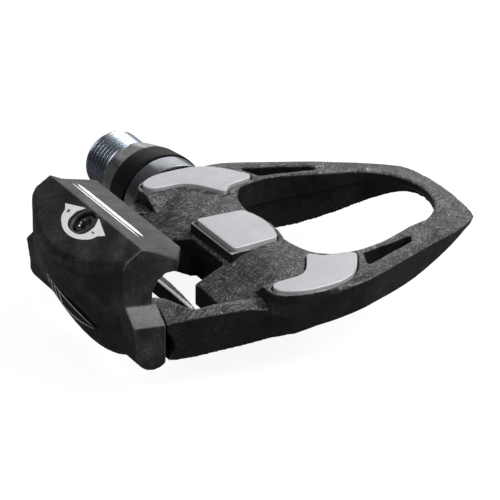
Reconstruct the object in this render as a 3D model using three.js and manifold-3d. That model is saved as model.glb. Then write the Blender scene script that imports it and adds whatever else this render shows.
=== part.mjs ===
// Clipless road pedal, drive side, as an assembly of named parts.
// Millimetres, +Z up (cleat side), +X towards the nose of the pedal, +Y towards the crank.
// The origin is on the spindle axis, in the plane of the shoulder that seats on the crank.

import * as THREE from 'three';
import { mergeVertices } from 'three/addons/utils/BufferGeometryUtils.js';
import Module from 'manifold-3d';

const wasm = await Module();
wasm.setup();

// ---------------------------------------------------------------- driving dimensions

const GAP = 0.3;              // clearance between pieces that touch
const CENTRE = 52;            // crank shoulder to the middle of the platform

const THREAD = { radius: 7.14, length: 11.3, root: 6.2, undercut: 1.3, relief: 7.4 };
const HEX_KEY = 8;            // across flats, depth equals the thread length
const FLANGE = { radius: 8.75, flats: 16.5, inner: 47.2 };
const SHAFT = { collar: 5, bearing: 3.6, tail: 2.9, collarEnd: 34, tailStart: -4, end: -12 };
const BORE = { radius: 7.3, end: -15 };
const HOUSING = { radius: 8.7, end: -16.6, chamfer: 2 };
const SLEEVE = { outer: 7, inner: 6.2, end: -13, rim: 10, rimInner: 33.6, rimOuter: 39.2 };
const ROW = { pitch: 4.9, ball: 1, count: 10, inboard: 27, outboard: -1.5, needleStart: 12, needleEnd: 22 };
const SEAL = { inner: 43.7, outer: 46.5, radius: 7.6 };

const PLATE = { top: 9.9, thickness: 1.5, studRadius: 1.1 };
const HALF_WIDTH = 33.2;      // widest point of the platform

const PIVOT = { x: -36.5, z: 0, pin: 1.6, pinHalf: 22.7 };
const LUG = { inner: 16.8, outer: 19.7, radius: 3 };
const EAR = { inner: 20, outer: 24.3, boreEnd: 23.3, x: -36.3, z: -0.2, radius: 4.1, chamfer: 0.3, front: -33.75 };
const CLAW = { halfWidth: 20.5, ridgeX: -37, ridgeZ: 21.6, slope: THREE.MathUtils.degToRad(31) };
const BOLT = { x: -39.83, z: 20.16, head: 2.4, headTop: 1, headEnd: 3.6, shank: 1.25, end: 7.5 };
const NUT = { top: 4.3, thickness: 1.8, halfLength: 8.8, back: -1.8, front: 1.95, travel: 1.4 };
const SPRING = { mean: 2.6, wire: 0.65, inner: 6.5, outer: 12.6, turns: 4.25 };

// ---------------------------------------------------------------- materials

const finish = (color, roughness, metalness) =>
  new THREE.MeshStandardMaterial({ color, roughness, metalness });

const carbon = finish(0x1c1d1f, 0.42, 0.1);
const brushedPlate = finish(0xbcbdc1, 0.45, 0.9);
const clawPlastic = finish(0x17181a, 0.6, 0);
const axleSteel = finish(0xb4b9c2, 0.25, 1);
const blackCollar = finish(0x0e0f10, 0.5, 0);
const glossBlack = finish(0x0a0a0b, 0.12, 0.4);
const sealRubber = finish(0x111111, 0.85, 0);
const bearingSteel = finish(0xc7cacf, 0.18, 1);
const blackSteel = finish(0x22242a, 0.35, 0.9);
const springSteel = finish(0x8b8f97, 0.3, 1);
const bushPlastic = finish(0x2a2b2e, 0.7, 0);
const badgeSilver = finish(0x9a9ca0, 0.35, 0.8);

// ---------------------------------------------------------------- solid helpers

function buildSolid(positions, indices) {
  const kept = [];
  for (let i = 0; i < indices.length; i += 3) {
    const [a, b, c] = [indices[i], indices[i + 1], indices[i + 2]];
    if (a !== b && b !== c && c !== a) kept.push(a, b, c);
  }
  const mesh = (triangles) => new wasm.Mesh({
    numProp: 3,
    vertProperties: Float32Array.from(positions),
    triVerts: Uint32Array.from(triangles),
  });
  const solid = new wasm.Manifold(mesh(kept));
  if (solid.volume() > 0) return solid;
  for (let i = 0; i < kept.length; i += 3) {
    [kept[i], kept[i + 1]] = [kept[i + 1], kept[i]];
  }
  return new wasm.Manifold(mesh(kept));
}

function solidOf(geometry) {
  const bare = geometry.index ? geometry.toNonIndexed() : geometry.clone();
  for (const name of Object.keys(bare.attributes)) {
    if (name !== 'position') bare.deleteAttribute(name);
  }
  const merged = mergeVertices(bare, 1e-4);
  return buildSolid(merged.attributes.position.array, merged.index.array);
}

function geometryOf(solid) {
  const { vertProperties, triVerts } = solid.getMesh();
  const geometry = new THREE.BufferGeometry();
  geometry.setAttribute('position', new THREE.BufferAttribute(vertProperties, 3));
  geometry.setIndex(Array.from(triVerts));
  geometry.computeVertexNormals();
  return geometry;
}

const join = (first, ...others) => others.reduce((whole, piece) => whole.add(piece), first);
const cut = (first, ...others) => others.reduce((rest, piece) => rest.subtract(piece), first);

function shapeOf(points) {
  return new THREE.Shape(points.map(([a, b]) => new THREE.Vector2(a, b)));
}

// Outline in X and Y, extruded up Z.
function prismZ(points, low, high) {
  const geometry = new THREE.ExtrudeGeometry(shapeOf(points), { depth: high - low, bevelEnabled: false });
  return solidOf(geometry.translate(0, 0, low));
}

// Outline in X and Z, extruded along Y.
function prismY(points, low, high) {
  const geometry = new THREE.ExtrudeGeometry(shapeOf(points), { depth: high - low, bevelEnabled: false });
  return solidOf(geometry.rotateX(Math.PI / 2).translate(0, high, 0));
}

// Outline in Y and Z, extruded along X.
function prismX(points, low, high) {
  const geometry = new THREE.ExtrudeGeometry(shapeOf(points), { depth: high - low, bevelEnabled: false });
  const basis = new THREE.Matrix4().makeBasis(
    new THREE.Vector3(0, 1, 0), new THREE.Vector3(0, 0, 1), new THREE.Vector3(1, 0, 0));
  return solidOf(geometry.applyMatrix4(basis).translate(low, 0, 0));
}

function block(x0, x1, y0, y1, z0, z1) {
  const geometry = new THREE.BoxGeometry(x1 - x0, y1 - y0, z1 - z0);
  return solidOf(geometry.translate((x0 + x1) / 2, (y0 + y1) / 2, (z0 + z1) / 2));
}

function rodY(radius, y0, y1, x = 0, z = 0, sides = 36) {
  const geometry = new THREE.CylinderGeometry(radius, radius, y1 - y0, sides);
  return solidOf(geometry.translate(x, (y0 + y1) / 2, z));
}

function rodZ(radius, x, y, z0, z1, sides = 16) {
  const geometry = new THREE.CylinderGeometry(radius, radius, z1 - z0, sides);
  return solidOf(geometry.rotateX(Math.PI / 2).translate(x, y, (z0 + z1) / 2));
}

// Closed profile of [radius, y] points turned about the Y axis.
function turned(profile, sides = 40) {
  const points = [...profile, profile[0]].map(([r, y]) => new THREE.Vector2(r, y));
  return solidOf(new THREE.LatheGeometry(points, sides));
}

function ringY(inner, outer, y0, y1, sides = 36) {
  return turned([[inner, y0], [outer, y0], [outer, y1], [inner, y1]], sides);
}

function hexagonY(flats, y0, y1) {
  const geometry = new THREE.CylinderGeometry(flats / Math.sqrt(3), flats / Math.sqrt(3), y1 - y0, 6);
  return solidOf(geometry.translate(0, (y0 + y1) / 2, 0));
}

// Skin over a row of closed sections with the same number of points, capped at both ends.
function loft(sections) {
  const count = sections[0].length;
  const positions = sections.flat().flatMap((p) => [p.x, p.y, p.z]);
  const indices = [];
  for (let i = 0; i + 1 < sections.length; i += 1) {
    for (let j = 0; j < count; j += 1) {
      const next = (j + 1) % count;
      const [a, b] = [i * count + j, i * count + next];
      indices.push(a, b, b + count, a, b + count, a + count);
    }
  }
  const cap = (section, offset, flip) => {
    const along = section[1].clone().sub(section[0]).normalize();
    const normal = new THREE.Vector3();
    section.forEach((p, i) => {
      const q = section[(i + 1) % count];
      normal.add(new THREE.Vector3().crossVectors(p, q));
    });
    const across = new THREE.Vector3().crossVectors(normal.normalize(), along);
    const flat = section.map((p) => new THREE.Vector2(p.dot(along), p.dot(across)));
    for (const [a, b, c] of THREE.ShapeUtils.triangulateShape(flat, [])) {
      indices.push(offset + a, offset + (flip ? b : c), offset + (flip ? c : b));
    }
  };
  cap(sections[0], 0, false);
  cap(sections[sections.length - 1], (sections.length - 1) * count, true);
  return buildSolid(positions, indices);
}

const mirrored = (points) => points.map(([x, y, ...rest]) => [x, -y, ...rest]);

function arcPoints(x, z, radius, fromDegrees, toDegrees, steps) {
  return Array.from({ length: steps + 1 }, (_, i) => {
    const angle = THREE.MathUtils.degToRad(fromDegrees + (toDegrees - fromDegrees) * i / steps);
    return [x + radius * Math.cos(angle), z + radius * Math.sin(angle)];
  });
}

// ---------------------------------------------------------------- carbon body

// Each line runs from the cheek behind the spindle, along one rail, to the middle of the nose.
const RAIL = {
  base: [
    [-12.6, 28.4, -0.9], [-12, 29.6, -0.7], [-10.4, 31, -0.1], [-8.5, 31.9, 0.5],
    [-5.8, 32.5, 1.1], [-1.5, 32.7, 1.4], [3, 32.7, 1.7], [8.4, 32.3, 2.3],
    [12.5, 31, 2.5], [19.2, 28.1, 2.3], [26, 25.1, 2.45], [32.9, 22.1, 3.5],
    [38.2, 19.8, 4.8], [43.2, 16.9, 5.8], [46.5, 14.3, 6.1], [47.2, 9.2, 6.4], [47.5, 0, 6.5],
  ],
  shoulder: [
    [-12.9, 28.6, 5.6], [-12.3, 30, 5], [-10.6, 31.5, 4.5], [-8.6, 32.4, 4.5],
    [-5.8, 33, 5.8], [-1.5, HALF_WIDTH, 7.3], [3, HALF_WIDTH, 8.2], [8.6, 32.8, 8.9],
    [12.7, 31.5, 9], [19.4, 28.6, 8.8], [26.2, 25.6, 8.5], [33.1, 22.6, 8.15],
    [38.4, 20.3, 7.8], [43.5, 17.3, 7.5], [46.9, 14.6, 7.3], [47.6, 9.4, 7.9], [48, 0, 8.3],
  ],
  ridge: [
    [-11.95, 27.4, 9.3], [-11.7, 29, 9.3], [-10.4, 30.5, 9.35], [-8.3, 31.7, 9.35],
    [-5.6, 32.5, 9.4], [-1.5, 32.8, 9.4], [3, 32.4, 9.4], [8, 31.3, 9.4],
    [13, 29.4, 9.4], [19.2, 26.9, 9.3], [26, 24.2, 9.2], [32.3, 20.7, 9.1],
    [36, 17, 9], [38.6, 13.4, 9], [41, 10.3, 9], [42.6, 6.8, 9], [43.9, 0, 9],
  ],
  inner: [
    [-11.8, 25.2, 9.3], [-10.8, 25, 9.3], [-9, 24.9, 9.3], [-7, 24.8, 9.35],
    [-4.6, 24.8, 9.4], [-2, 23, 9.4], [1.5, 19, 9.35], [5.4, 16.8, 9.3],
    [8.4, 18.9, 9.3], [14.7, 20.1, 9.3], [22, 18.5, 9.2], [30.2, 15.2, 9.1],
    [34.9, 13.9, 9], [37.6, 12, 9], [40.3, 9, 9], [41.9, 5.2, 9], [42.8, 0, 9],
  ],
  foot: [
    [-11.2, 21.4, 6.2], [-9.8, 21.5, 6.6], [-8.4, 21.8, 7], [-6.6, 22.2, 7.7],
    [-4.3, 23.2, 8.5], [-2, 22.6, 8.8], [1.5, 18.6, 8.2], [5.6, 17, 3.9],
    [8.4, 18.9, 3.4], [14.7, 20.1, 3.1], [22, 18.5, 3.9], [30.2, 15.2, 5.4],
    [34.9, 13.9, 6.2], [37.6, 12, 6.8], [40.3, 9, 7.1], [41.9, 5.2, 7.3], [42.8, 0, 7.5],
  ],
  step: [
    [-11.2, 21.7, 5.8], [-9.8, 21.8, 6.2], [-8.4, 22, 6.6], [-6.6, 22.4, 7.3],
    [-4.3, 23.3, 8.1], [-2, 22.7, 8.4], [1.5, 18.7, 7.8], [5.8, 17.4, 3.7],
    [8.9, 19.5, 3.2], [14.8, 20.8, 2.9], [22.3, 19.2, 3.7], [30.6, 15.9, 5.2],
    [35.4, 14.4, 6], [38.1, 12.5, 6.6], [40.9, 9.3, 6.9], [42.5, 5.4, 7.1], [43.4, 0, 7.3],
  ],
  keel: [
    [-11.2, 21.7, -1.2], [-9.8, 21.8, -1.5], [-8.4, 22, -1.8], [-6.6, 22.4, -2.2],
    [-4.3, 23.3, -2.6], [-2, 22.7, -3], [1.5, 18.7, -3.4], [5.8, 17.4, -3.7],
    [8.9, 19.5, -4], [14.8, 20.8, -4.1], [22.3, 19.2, -3.5], [30.6, 15.9, -1],
    [35.4, 14.4, 0.6], [38.1, 12.5, 2.1], [40.9, 9.3, 4], [42.5, 5.4, 5.6], [43.4, 0, 6.2],
  ],
};

const ARM = {
  base: [
    [-33.4, 24.1, -3.2], [-30.2, 24.5, -3.4], [-28.3, 24.8, -3.4], [-26.3, 25.2, -3.3],
    [-22, 26.1, -2.8], [-17, 27.5, -2.1], [-13.5, 28.4, -1.5], [-9, 29.2, -0.8],
  ],
  shoulder: [
    [-33.4, 24.4, 5.4], [-30.2, 24.9, 5.6], [-28.3, 25.2, 5.7], [-26.3, 25.6, 5.8],
    [-22, 26.5, 6], [-17, 27.9, 6.4], [-13.5, 28.8, 5.9], [-9, 29.6, 4.6],
  ],
  ridge: [
    [-33.4, 20.6, 7.9], [-30.2, 21.2, 7.7], [-28.3, 22.9, 7.2], [-26.3, 24, 6.8],
    [-22, 24.7, 6.9], [-17, 25.3, 6.9], [-13.5, 25.9, 6.6], [-9, 26, 5.6],
  ],
  inner: [
    [-33.4, 17, 8.3], [-30.7, 18.2, 8.2], [-28.4, 21.6, 7.4], [-26.3, 23, 6.8],
    [-22, 23.2, 6.9], [-17, 23.3, 6.6], [-13.5, 23.4, 6.2], [-9, 23.4, 5.2],
  ],
};

function smoothLine(points, perSpan) {
  const curve = new THREE.CatmullRomCurve3(points.map((p) => new THREE.Vector3(...p)), false, 'centripetal');
  return curve.getPoints((points.length - 1) * perSpan);
}

function railHoop() {
  const whole = (line) => [...line, ...mirrored(line.slice(0, -1)).reverse()];
  const lines = ['base', 'shoulder', 'ridge', 'inner', 'foot', 'step', 'keel'];
  const smooth = lines.map((name) => smoothLine(whole(RAIL[name]), 2));
  return loft(smooth[0].map((_, i) => smooth.map((line) => line[i])));
}

function rearArm(side) {
  const onSide = (line) => line.map(([x, y, z]) => [x, side * y, z]);
  const [base, shoulder, ridge, inner] =
    ['base', 'shoulder', 'ridge', 'inner'].map((name) => smoothLine(onSide(ARM[name]), 2));
  return loft(base.map((outer, i) => {
    const under = new THREE.Vector3(inner[i].x, inner[i].y, outer.z);
    return [outer, shoulder[i], ridge[i], inner[i], under];
  }));
}

function onBothSides(make) {
  return join(make(1), make(-1));
}

function spanY(side, inner, outer) {
  return side > 0 ? [inner, outer] : [-outer, -inner];
}

// The lug that the pivot pin passes through, at the end of each rear arm.
function lug(side) {
  const round = arcPoints(PIVOT.x, PIVOT.z, LUG.radius, 80, 270, 12);
  const outline = [[-32, 8.2], [-34.5, 8.3], [-34.5, 4.4], ...round, [-32, -2.7]];
  return prismY(outline, ...spanY(side, LUG.inner, LUG.outer));
}

// Bridge over the spindle: its top falls away behind the wear plates, its underside rises to the sides.
function bridge() {
  const side = [
    [9, 9], [3, 9.1], [-1, 9], [-4.5, 8.6], [-7.5, 7.7], [-10.6, 6.3], [-10.2, 3], [-9, -1],
    [-6, -5.5], [0, -8], [5, -6], [8, -1], [9, 3],
  ];
  const frontHalf = [[5, 0], [4.6, 3.5], [3.7, 7.5], [4, 10.4], [4.6, 13], [5.4, 15.3], [7, 17.6], [8, 19]];
  const front = [...frontHalf, ...mirrored(frontHalf.slice(1)).reverse()];
  const plan = [[-12, 23.5], [-12, -23.5], [0, -23.5], [4, -21], ...front.slice(8), ...front.slice(0, 8)];
  const behind = [[-23.5, 12], [-23.5, -3.4], [-18, -8.2], [18, -8.2], [23.5, -3.4], [23.5, 12]];
  return prismY(side, -23.5, 23.5)
    .intersect(prismZ([...plan, [4, 21], [0, 23.5]], -12, 12))
    .intersect(prismX(behind, -13, 13));
}

// Raised seat of the centre plate.
function centreSeat() {
  const half = [[-9.8, 8.9], [1.8, 8.2], [3.9, 7.2], [4.7, 3.6], [4.9, 0]];
  return prismZ([...half, ...mirrored(half.slice(0, -1)).reverse()], 3, 9.2);
}

// Sloping web from the spindle housing out to the rear arm.
function web(side) {
  const profile = [[-8, 6.3], [-10.6, 6.3], [-17.5, 3.2], [-17.5, -1.6], [-8, -3.4]];
  const whole = prismY(profile, ...spanY(side, 7, 24));
  if (side < 0) return whole;
  return cut(whole, prismZ([[-10.8, 6.5], [-10.8, 7.2], [-13.4, 10.5], [-18, 13.2], [-18, 6.5]], -5, 8));
}

function crossBar() {
  const front = Array.from({ length: 9 }, (_, i) => {
    const y = 23.6 * (1 - i / 4);
    return [-22.2 - 2.2 * (y / 20) ** 2, y];
  });
  const plan = [...front, [-25.4, -23.6], [-25.4, 23.6]];
  const side = [[-21, 3.6], [-24.6, 5], [-26, 5], [-26, 1.2], [-21, 1.2]];
  return prismZ(plan, 0, 6).intersect(prismY(side, -23.6, 23.6));
}

const PLATE_OUTLINE = {
  side: [
    [-10.6, 27.3], [-10.6, 29], [-9.2, 30.5], [-6.8, 31.7], [-4.2, 32.2], [0, 32.2], [3, 31.9],
    [5, 31.2], [6.9, 30.2], [9.2, 27.8], [11.2, 24.9], [12.6, 22.4], [12, 21.2], [10.2, 20.5],
    [7.9, 20.3], [5.8, 19.7], [4.5, 18.2], [3.7, 17.6], [3, 18], [1.2, 21.1], [-0.5, 23.7],
    [-2.3, 25.2], [-4.5, 25.7], [-7.4, 25.8], [-9.4, 26],
  ],
  centre: [
    [-8.8, 7.6], [-8.2, 8.2], [1.4, 7.6], [2.4, 7], [3.4, 4], [3.8, 0], [3.4, -4], [2.4, -7],
    [1.4, -7.6], [-8.2, -8.2], [-8.8, -7.6],
  ],
};
const STUDS = { side: [[-8.4, 28.6], [9.6, 23.6]], centre: [[-7, 5], [-7, -5]] };
const STUD_DEPTH = { side: 4, centre: 6 };

// The outline grown evenly, by moving each corner out along its two edges' normals.
function grown(points, distance) {
  const area = THREE.ShapeUtils.area(points.map(([x, y]) => new THREE.Vector2(x, y)));
  const sign = Math.sign(area);
  return points.map((point, i) => {
    const before = points[(i + points.length - 1) % points.length];
    const after = points[(i + 1) % points.length];
    const normal = (from, to) => new THREE.Vector2(to[1] - from[1], from[0] - to[0]).normalize();
    const sum = normal(before, point).add(normal(point, after)).normalize();
    return [point[0] + sign * distance * sum.x, point[1] + sign * distance * sum.y];
  });
}

function plateSeat(outline, studs, studLow) {
  const pocket = prismZ(grown(outline, GAP), PLATE.top - PLATE.thickness - GAP, 14);
  const holes = studs.map(([x, y]) => rodZ(PLATE.studRadius + GAP, x, y, studLow - GAP, PLATE.top));
  return join(pocket, ...holes);
}

function wearPlate(outline, studs, studLow) {
  const sheet = prismZ(outline, PLATE.top - PLATE.thickness, PLATE.top);
  const posts = studs.map(([x, y]) => rodZ(PLATE.studRadius, x, y, studLow, PLATE.top - 0.5));
  return join(sheet, ...posts);
}

function railPocket(side) {
  const outline = [[14.6, 21.8], [12.6, 26.6], [13.2, 27], [26.4, 21.7], [27.6, 19.6], [27, 19], [24, 19.9]];
  return prismZ(outline.map(([x, y]) => [x, side * y]), 5.6, 12);
}

function carbonBody() {
  const mouth = SLEEVE.rimInner - 2 * GAP;
  const housing = turned([
    [0, HOUSING.end], [HOUSING.radius - HOUSING.chamfer, HOUSING.end],
    [HOUSING.radius, HOUSING.end + HOUSING.chamfer], [HOUSING.radius, mouth], [0, mouth],
  ], 48);
  const solid = join(
    railHoop(), onBothSides(rearArm), onBothSides(lug), bridge(), centreSeat(),
    onBothSides(web), crossBar(), housing,
  );
  const earRoom = (side) => rodY(EAR.radius + 0.45, ...spanY(side, LUG.outer + 0.15, 30), EAR.x, EAR.z, 48);
  const seats = [1, -1].map((side) => {
    const flip = ([x, y]) => [x, side * y];
    return plateSeat(PLATE_OUTLINE.side.map(flip), STUDS.side.map(flip), STUD_DEPTH.side);
  });
  return cut(
    solid,
    rodY(BORE.radius, BORE.end, 40, 0, 0, 48),
    rodY(PIVOT.pin + GAP, -30, 30, PIVOT.x, PIVOT.z, 24),
    onBothSides(earRoom),
    onBothSides(railPocket),
    plateSeat(PLATE_OUTLINE.centre, STUDS.centre, STUD_DEPTH.centre),
    ...seats,
  );
}

// ---------------------------------------------------------------- spindle and bearings

function spindle() {
  const tip = CENTRE + THREAD.length;
  const bar = turned([
    [0, SHAFT.end], [SHAFT.tail - 0.4, SHAFT.end], [SHAFT.tail, SHAFT.end + 0.5],
    [SHAFT.tail, SHAFT.tailStart], [SHAFT.bearing, SHAFT.tailStart + 0.5],
    [SHAFT.bearing, SHAFT.collarEnd - 1.5], [SHAFT.collar, SHAFT.collarEnd],
    [SHAFT.collar, FLANGE.inner + 1], [0, FLANGE.inner + 1],
  ]);
  const threaded = turned([
    [0, FLANGE.inner + 1], [THREAD.root, FLANGE.inner + 1], [THREAD.root, CENTRE + THREAD.undercut],
    [THREAD.radius, CENTRE + THREAD.undercut + 0.9], [THREAD.radius, tip - 0.8],
    [THREAD.radius - 0.8, tip], [0, tip],
  ]);
  const disc = turned([
    [0, FLANGE.inner], [FLANGE.radius - 0.5, FLANGE.inner], [FLANGE.radius, FLANGE.inner + 0.5],
    [FLANGE.radius, CENTRE - 0.6], [FLANGE.radius - 0.6, CENTRE], [THREAD.relief, CENTRE],
    [THREAD.relief, CENTRE - 0.4], [0, CENTRE - 0.4],
  ]);
  const octagon = new THREE.CylinderGeometry(
    FLANGE.flats / 2 / Math.cos(Math.PI / 8), FLANGE.flats / 2 / Math.cos(Math.PI / 8), 10, 8);
  const flange = disc.intersect(solidOf(octagon.translate(0, CENTRE - 3, 0)));
  return cut(join(bar, flange, threaded), hexagonY(HEX_KEY, CENTRE, tip + 1));
}

function lockCollar() {
  return turned([
    [SHAFT.collar + 0.6, SLEEVE.rimOuter + GAP], [10.25, SLEEVE.rimOuter + GAP], [10.2, 41],
    [10, 43], [9.7, 46], [8.9, FLANGE.inner - GAP], [SEAL.radius + GAP, FLANGE.inner - GAP],
    [SEAL.radius + GAP, SEAL.inner - GAP], [SHAFT.collar + 0.6, SEAL.inner - GAP],
  ]);
}

const dustSeal = () => ringY(SHAFT.collar + GAP, SEAL.radius, SEAL.inner, SEAL.outer);

function axleSleeve() {
  return turned([
    [SLEEVE.inner, SLEEVE.end], [SLEEVE.outer, SLEEVE.end], [SLEEVE.outer, SLEEVE.rimInner],
    [SLEEVE.rim - 0.3, SLEEVE.rimInner], [SLEEVE.rim, SLEEVE.rimInner + 0.3],
    [SLEEVE.rim, SLEEVE.rimOuter], [SLEEVE.inner, SLEEVE.rimOuter],
  ]);
}

function aroundAxle(make) {
  return Array.from({ length: ROW.count }, (_, i) => {
    const angle = 2 * Math.PI * i / ROW.count;
    return make(ROW.pitch * Math.cos(angle), ROW.pitch * Math.sin(angle));
  });
}

function ballRow(y) {
  const cage = ringY(ROW.pitch - 0.45, ROW.pitch + 0.45, y - 0.6, y + 0.6, 24);
  return join(cage, ...aroundAxle((x, z) => solidOf(new THREE.SphereGeometry(ROW.ball, 6, 5).translate(x, y, z))));
}

function needleRow(y0, y1) {
  const rim = (y) => ringY(ROW.pitch - 0.6, ROW.pitch + 0.6, y, y + 1, 24);
  const rollers = aroundAxle((x, z) => rodY(ROW.ball - 0.1, y0 + 0.5, y1 - 0.5, x, z, 6));
  return join(rim(y0), rim(y1 - 1), ...rollers);
}

const cone = () => turned([
  [SHAFT.tail + GAP, -6.8], [5.2, -6.8], [5.2, -5.2], [4, -4.4], [SHAFT.tail + GAP, -4.4],
], 24);

const coneLockNut = () => cut(hexagonY(9.4, -10.2, -7.2), rodY(SHAFT.tail + GAP, -13, -3, 0, 0, 24));

// ---------------------------------------------------------------- rear claw

// Frame of the tension bolt: depth runs into the claw, across runs forward and up.
const INWARD = new THREE.Vector3(Math.sin(CLAW.slope), 0, -Math.cos(CLAW.slope));
const ACROSS = new THREE.Vector3(Math.cos(CLAW.slope), 0, Math.sin(CLAW.slope));

function inBoltFrame(depth, across) {
  return [
    BOLT.x + depth * INWARD.x + across * ACROSS.x,
    BOLT.z + depth * INWARD.z + across * ACROSS.z,
  ];
}

// A solid turned about Y is laid on the bolt axis, with its +Y along the inward direction.
function alongBolt(geometry) {
  const turn = new THREE.Quaternion().setFromUnitVectors(new THREE.Vector3(0, 1, 0), INWARD);
  return solidOf(geometry.applyQuaternion(turn).translate(BOLT.x, 0, BOLT.z));
}

function boltRod(radius, from, to, sides = 24) {
  return alongBolt(new THREE.CylinderGeometry(radius, radius, to - from, sides).translate(0, (from + to) / 2, 0));
}

function clawSection(y) {
  const t = (y / CLAW.halfWidth) ** 2;
  const mix = (middle, end) => middle + (end - middle) * t;
  const facetZ = (x) => CLAW.ridgeZ + Math.tan(CLAW.slope) * (x - CLAW.ridgeX);
  const bevel = Math.max(0, Math.abs(y) - 18.5) / 2;
  const bottom = mix(-7.6, -1.7);
  const back = mix(-47.4, -41.2);
  return [
    [CLAW.ridgeX, CLAW.ridgeZ],
    [-27.1 - 1.7 * bevel, 19 - 1.7 * bevel],
    [-27.3 - 1.5 * bevel, 15.9],
    [-28.6 - 0.4 * bevel, 15],
    [-31.4, 15],
    [-33.4, 13.7],
    [-34.5, 11.9],
    [-34.85, 9],
    [-34.85, mix(-3, 0)],
    [-36, bottom],
    [mix(-38.2, -39), bottom],
    [mix(-42.4, -40.9), mix(0.2, 2.8)],
    [mix(-46.4, -41.2), mix(8, 9)],
    [mix(-47.2, -41.2), 12],
    [back, facetZ(back) - 1],
    [back + 0.9, facetZ(back + 0.9)],
  ].map(([x, z]) => new THREE.Vector3(x, y, z));
}

function clawShell() {
  const stations = [-20.5, -18.5, -16, -13, -10, -7, -3.5, 0, 3.5, 7, 10, 13, 16, 18.5, 20.5];
  return loft(stations.map(clawSection));
}

function ear(side) {
  const section = (y, radius, rearX, rearZ, frontZ) => {
    const lowFront = 360 - THREE.MathUtils.radToDeg(Math.acos((EAR.front - EAR.x) / radius));
    const lobe = arcPoints(EAR.x, EAR.z, radius, 170, lowFront, 12);
    return [[EAR.front, frontZ], [rearX, rearZ], ...lobe].map(([x, z]) => new THREE.Vector3(x, side * y, z));
  };
  return loft([
    section(EAR.inner, EAR.radius, -41.2, 9.6, 8.7),
    section(CLAW.halfWidth, EAR.radius, -41.2, 9.6, 8.7),
    section(EAR.outer - EAR.chamfer, EAR.radius, -41.1, 6.4, 5.6),
    section(EAR.outer, EAR.radius - EAR.chamfer, -40.9, 6.1, 5.3),
  ]);
}

// Room for the lug of the body between the ear and the spring housing, open to the front.
function lugRoom(side) {
  const round = arcPoints(PIVOT.x, PIVOT.z, LUG.radius + 0.4, 120, 262, 12);
  const outline = [[-30, 9], [-37.3, 9], [-39.2, 6], ...round, [-36.8, -9], [-30, -9]];
  return prismY(outline, ...spanY(side, LUG.inner - GAP, EAR.inner));
}

function springRoom() {
  const end = SPRING.outer + SPRING.wire + 2 * GAP;
  const coil = rodY(SPRING.mean + SPRING.wire + 0.25, -end, end, PIVOT.x, PIVOT.z, 32);
  const mouth = block(PIVOT.x, -30, -end, end, -3.6, 4.4);
  const shaftSide = [[-36.4, 12.5], [-42.4, 12.5], [-42.4, 3.2], [-40.3, 0.6], [-36.4, 0.5]];
  const shaft = prismY(shaftSide, -9.3, 9.3);
  const slot = (top, bottom, front, y0, y1) => prismY([
    inBoltFrame(top, -5.7), inBoltFrame(top, front), inBoltFrame(bottom, front), inBoltFrame(bottom, -5.7),
  ], y0, y1);
  const nutEnd = NUT.top + NUT.thickness + NUT.travel;
  const nutRoom = slot(NUT.top - GAP, nutEnd + GAP, NUT.front + GAP, -9.3, 9.3);
  const hookRoom = (side) => slot(2.2, 6, 0, ...spanY(side, 5.4, 7.6));
  return join(coil, mouth, shaft, nutRoom, onBothSides(hookRoom));
}

// Thin slanted lens on the chin of the claw.
const CHIN_NORMAL = new THREE.Vector3(-0.883, 0, -0.469);

function badgePrism(grow) {
  const half = Array.from({ length: 9 }, (_, i) => -9.2 + 18.4 * i / 8);
  const centreZ = (y) => 2.9 + 0.31 * y;
  const width = (y) => 1.15 * (1 - (y / 9.7) ** 2) + grow;
  const outline = [
    ...half.map((y) => [y, centreZ(y) + width(y)]),
    ...half.reverse().map((y) => [y, centreZ(y) - width(y)]),
  ];
  return prismX(outline, -49, -39);
}

function chinLayer(outer, inner) {
  const moved = (distance) => clawShell().translate(
    CHIN_NORMAL.x * distance, 0, CHIN_NORMAL.z * distance);
  return moved(outer).subtract(moved(inner));
}

function tensionBadge() {
  return badgePrism(0).intersect(chinLayer(0.05, -0.45));
}

// Rounded wall behind each lug, in line with the ear.
function boss(side) {
  return rodY(EAR.radius, ...spanY(side, LUG.inner - 0.8, EAR.inner + 0.2), EAR.x, EAR.z, 48);
}

function claw() {
  const earBore = (side) => rodY(2.7, ...spanY(side, EAR.inner - 0.1, EAR.boreEnd), PIVOT.x, PIVOT.z, 24);
  const shell = cut(
    join(clawShell(), onBothSides(boss)),
    springRoom(),
    onBothSides(lugRoom),
    boltRod(BOLT.head + 0.35, -3, BOLT.headEnd + GAP, 32),
    boltRod(BOLT.shank + GAP, 0, BOLT.end),
    badgePrism(GAP).intersect(chinLayer(1, -0.75)),
  );
  return cut(
    join(shell, onBothSides(ear)),
    rodY(PIVOT.pin + GAP, -20, 20, PIVOT.x, PIVOT.z, 24),
    onBothSides(earBore),
  );
}

function tensionBolt() {
  const points = [
    [0, BOLT.headTop], [BOLT.head - 0.3, BOLT.headTop], [BOLT.head, BOLT.headTop + 0.3],
    [BOLT.head, BOLT.headEnd], [BOLT.shank, BOLT.headEnd], [BOLT.shank, BOLT.end - 0.4],
    [BOLT.shank - 0.4, BOLT.end], [0, BOLT.end],
  ];
  const body = alongBolt(new THREE.LatheGeometry(points.map(([r, y]) => new THREE.Vector2(r, y)), 24));
  return cut(body, boltRod(1.25 / Math.cos(Math.PI / 6), BOLT.headTop - 1, BOLT.headTop + 1.6, 6));
}

function tensionNut() {
  const outline = [
    inBoltFrame(NUT.top, NUT.back), inBoltFrame(NUT.top, NUT.front),
    inBoltFrame(NUT.top + NUT.thickness, NUT.front), inBoltFrame(NUT.top + NUT.thickness, NUT.back),
  ];
  return cut(prismY(outline, -NUT.halfLength, NUT.halfLength), boltRod(BOLT.shank + GAP, 2, 12));
}

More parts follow.
